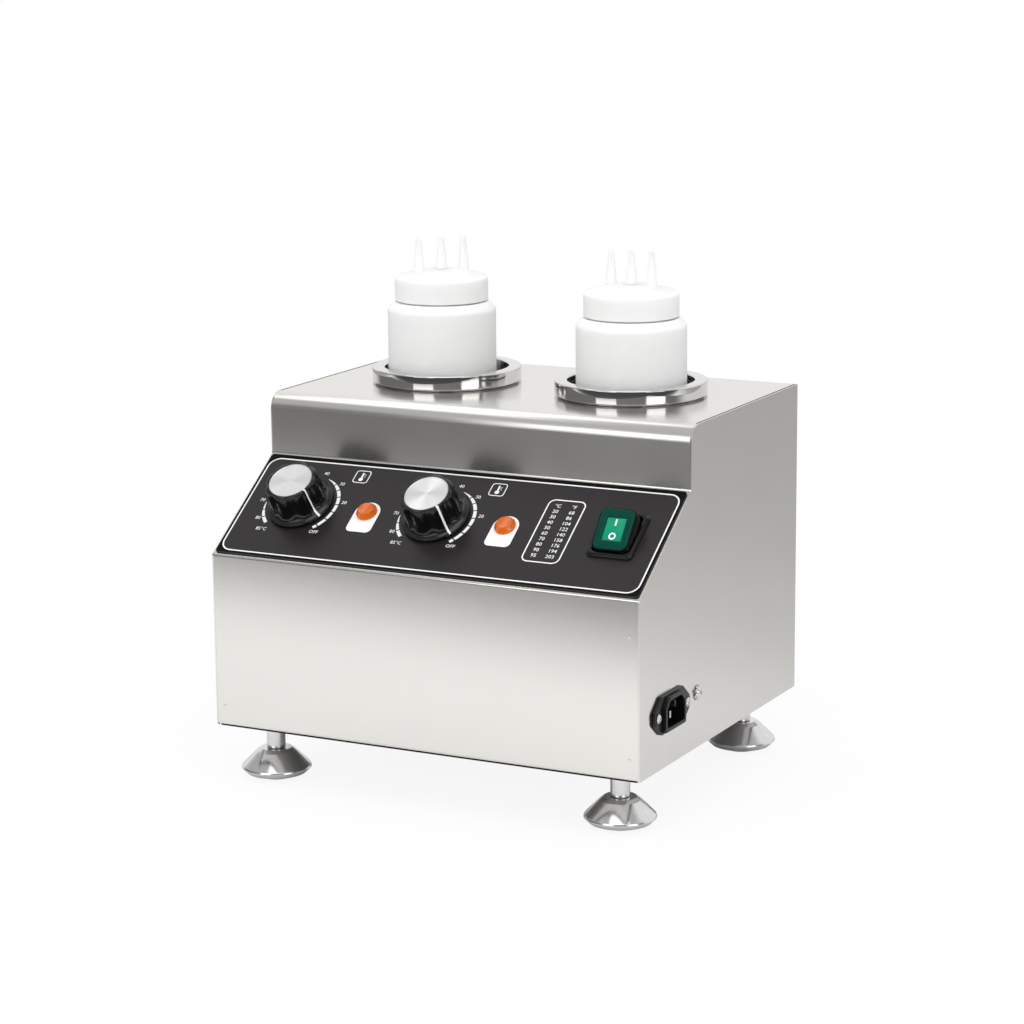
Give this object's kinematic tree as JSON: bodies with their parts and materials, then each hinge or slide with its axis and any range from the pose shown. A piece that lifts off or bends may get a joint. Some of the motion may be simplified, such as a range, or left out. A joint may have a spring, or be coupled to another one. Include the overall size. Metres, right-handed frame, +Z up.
{
  "type": "two-bottle topping warmer",
  "caption": "Countertop dry warmer: squeeze bottles stand in heated wells in a folded stainless casing with a sloped control panel, turning knobs, lamps and a covered rocker switch.",
  "frame": {"origin": "on the counter, under the middle of the whole object's outline", "axes": "+Z up, +X to the right seen from the front, +Y towards the rear; the sloped panel faces -Y"},
  "size_m": [0.2842, 0.2316, 0.3173],
  "materials": {
    "brushed_stainless": "satin rolled stainless sheet",
    "polished_stainless": "polished turned steel",
    "spun_aluminium": "spun bright disc or drawn bar",
    "capillary_brass": "drawn tube",
    "black_plastic": "moulded, fine satin",
    "printed_film": "black printed polyester film, satin",
    "mineral_lagging": "pressed mineral fibre",
    "heater_band": "heat-tinted sheet round mica",
    "amber_lens": "clear amber, faceted inside",
    "green_rocker": "clear green moulding",
    "clear_cover": "clear soft splash cover",
    "milky_plastic": "white blow-moulded polyethylene",
    "cream_plastic": "moulded insulating plastic",
    "brown_wire": "insulated wire",
    "blue_wire": "insulated wire",
    "earth_wire": "green and yellow insulated wire",
    "red_wire": "heat-proof sleeved wire"
  },
  "bodies": {
    "casing": {"front_top_wrap": "brushed_stainless", "left_side_panel": "brushed_stainless", "right_side_panel": "brushed_stainless", "rear_panel": "brushed_stainless", "base_plate": "brushed_stainless", "control_overlay": "printed_film", "well_pot_left": "brushed_stainless", "well_pot_right": "brushed_stainless", "well_collar_left": "polished_stainless", "well_collar_right": "polished_stainless", "heater_band_left": "heater_band", "heater_band_right": "heater_band", "lagging_left": "mineral_lagging", "lagging_right": "mineral_lagging", "thermostat_body_left": "cream_plastic", "thermostat_body_right": "cream_plastic", "thermostat_bulb_left": "capillary_brass", "thermostat_bulb_right": "capillary_brass", "lamp_lens_left": "amber_lens", "lamp_lens_right": "amber_lens", "lamp_body_left": "black_plastic", "lamp_body_right": "black_plastic", "switch_body": "black_plastic", "inlet_body": "black_plastic", "inlet_pin_live": "spun_aluminium", "inlet_pin_neutral": "spun_aluminium", "inlet_pin_earth": "spun_aluminium", "inlet_screw_front": "polished_stainless", "inlet_screw_rear": "polished_stainless", "earth_screw": "polished_stainless", "terminal_block": "cream_plastic", "wire_live": "brown_wire", "wire_neutral": "blue_wire", "wire_earth": "earth_wire", "heater_lead_left": "red_wire", "heater_lead_right": "red_wire", "rear_screw_left_lower": "polished_stainless", "rear_screw_left_upper": "polished_stainless", "rear_screw_right_lower": "polished_stainless", "rear_screw_right_upper": "polished_stainless"},
    "knob_left": {"knob_left": "black_plastic", "knob_disc_left": "spun_aluminium", "thermostat_shaft_left": "spun_aluminium"},
    "knob_right": {"knob_right": "black_plastic", "knob_disc_right": "spun_aluminium", "thermostat_shaft_right": "spun_aluminium"},
    "rocker": {"switch_rocker": "green_rocker", "switch_cover": "clear_cover"},
    "bottle_left": {"bottle_left": "milky_plastic"},
    "bottle_right": {"bottle_right": "milky_plastic"},
    "cap_left": {"bottle_cap_left": "milky_plastic"},
    "cap_right": {"bottle_cap_right": "milky_plastic"},
    "pad_front_left": {"foot_pad_front_left": "polished_stainless"},
    "pad_front_right": {"foot_pad_front_right": "polished_stainless"},
    "pad_rear_left": {"foot_pad_rear_left": "polished_stainless"},
    "pad_rear_right": {"foot_pad_rear_right": "polished_stainless"},
    "stud_front_left": {"foot_stud_front_left": "polished_stainless"},
    "stud_front_right": {"foot_stud_front_right": "polished_stainless"},
    "stud_rear_left": {"foot_stud_rear_left": "polished_stainless"},
    "stud_rear_right": {"foot_stud_rear_right": "polished_stainless"}
  },
  "joints": [
    {"name": "knob_left_turn", "type": "hinge", "parent": "casing", "child": "knob_left", "pos_m": [-0.1019, -0.07898, 0.16775], "axis": [0, -0.5735, 0.8192], "range_deg": [0, 270]},
    {"name": "knob_right_turn", "type": "hinge", "parent": "casing", "child": "knob_right", "pos_m": [-0.0099, -0.07898, 0.16775], "axis": [0, -0.5735, 0.8192], "range_deg": [0, 270]},
    {"name": "rocker_tilt", "type": "hinge", "parent": "casing", "child": "rocker", "pos_m": [0.1079, -0.08077, 0.16943], "axis": [-1, 0, 0], "range_deg": [0, 32]},
    {"name": "bottle_left_lift", "type": "slide", "parent": "casing", "child": "bottle_left", "axis": [0, 0, 1], "range_m": [0, 0.12]},
    {"name": "bottle_right_lift", "type": "slide", "parent": "casing", "child": "bottle_right", "axis": [0, 0, 1], "range_m": [0, 0.12]},
    {"name": "cap_left_lift", "type": "slide", "parent": "bottle_left", "child": "cap_left", "axis": [0, 0, 1], "range_m": [0, 0.03]},
    {"name": "cap_right_lift", "type": "slide", "parent": "bottle_right", "child": "cap_right", "axis": [0, 0, 1], "range_m": [0, 0.03]},
    {"name": "pad_front_left_slide", "type": "slide", "parent": "casing", "child": "pad_front_left", "axis": [0, 0, -1], "range_m": [0, 0.01]},
    {"name": "pad_front_right_slide", "type": "slide", "parent": "casing", "child": "pad_front_right", "axis": [0, 0, -1], "range_m": [0, 0.01]},
    {"name": "pad_rear_left_slide", "type": "slide", "parent": "casing", "child": "pad_rear_left", "axis": [0, 0, -1], "range_m": [0, 0.01]},
    {"name": "pad_rear_right_slide", "type": "slide", "parent": "casing", "child": "pad_rear_right", "axis": [0, 0, -1], "range_m": [0, 0.01]},
    {"name": "stud_front_left_turn", "type": "hinge", "parent": "pad_front_left", "child": "stud_front_left", "pos_m": [-0.1175, -0.0888, 0.03], "axis": [0, 0, -1], "range_deg": [0, 2881]},
    {"name": "stud_front_right_turn", "type": "hinge", "parent": "pad_front_right", "child": "stud_front_right", "pos_m": [0.1133, -0.0888, 0.03], "axis": [0, 0, -1], "range_deg": [0, 2881]},
    {"name": "stud_rear_left_turn", "type": "hinge", "parent": "pad_rear_left", "child": "stud_rear_left", "pos_m": [-0.1175, 0.0872, 0.03], "axis": [0, 0, -1], "range_deg": [0, 2881]},
    {"name": "stud_rear_right_turn", "type": "hinge", "parent": "pad_rear_right", "child": "stud_rear_right", "pos_m": [0.1133, 0.0872, 0.03], "axis": [0, 0, -1], "range_deg": [0, 2881]}
  ],
  "couplings": [
    {"joint": "stud_front_left_turn", "follows": "pad_front_left_slide", "rad_per_m": 5026.5},
    {"joint": "stud_front_right_turn", "follows": "pad_front_right_slide", "rad_per_m": 5026.5},
    {"joint": "stud_rear_left_turn", "follows": "pad_rear_left_slide", "rad_per_m": 5026.5},
    {"joint": "stud_rear_right_turn", "follows": "pad_rear_right_slide", "rad_per_m": 5026.5}
  ]
}
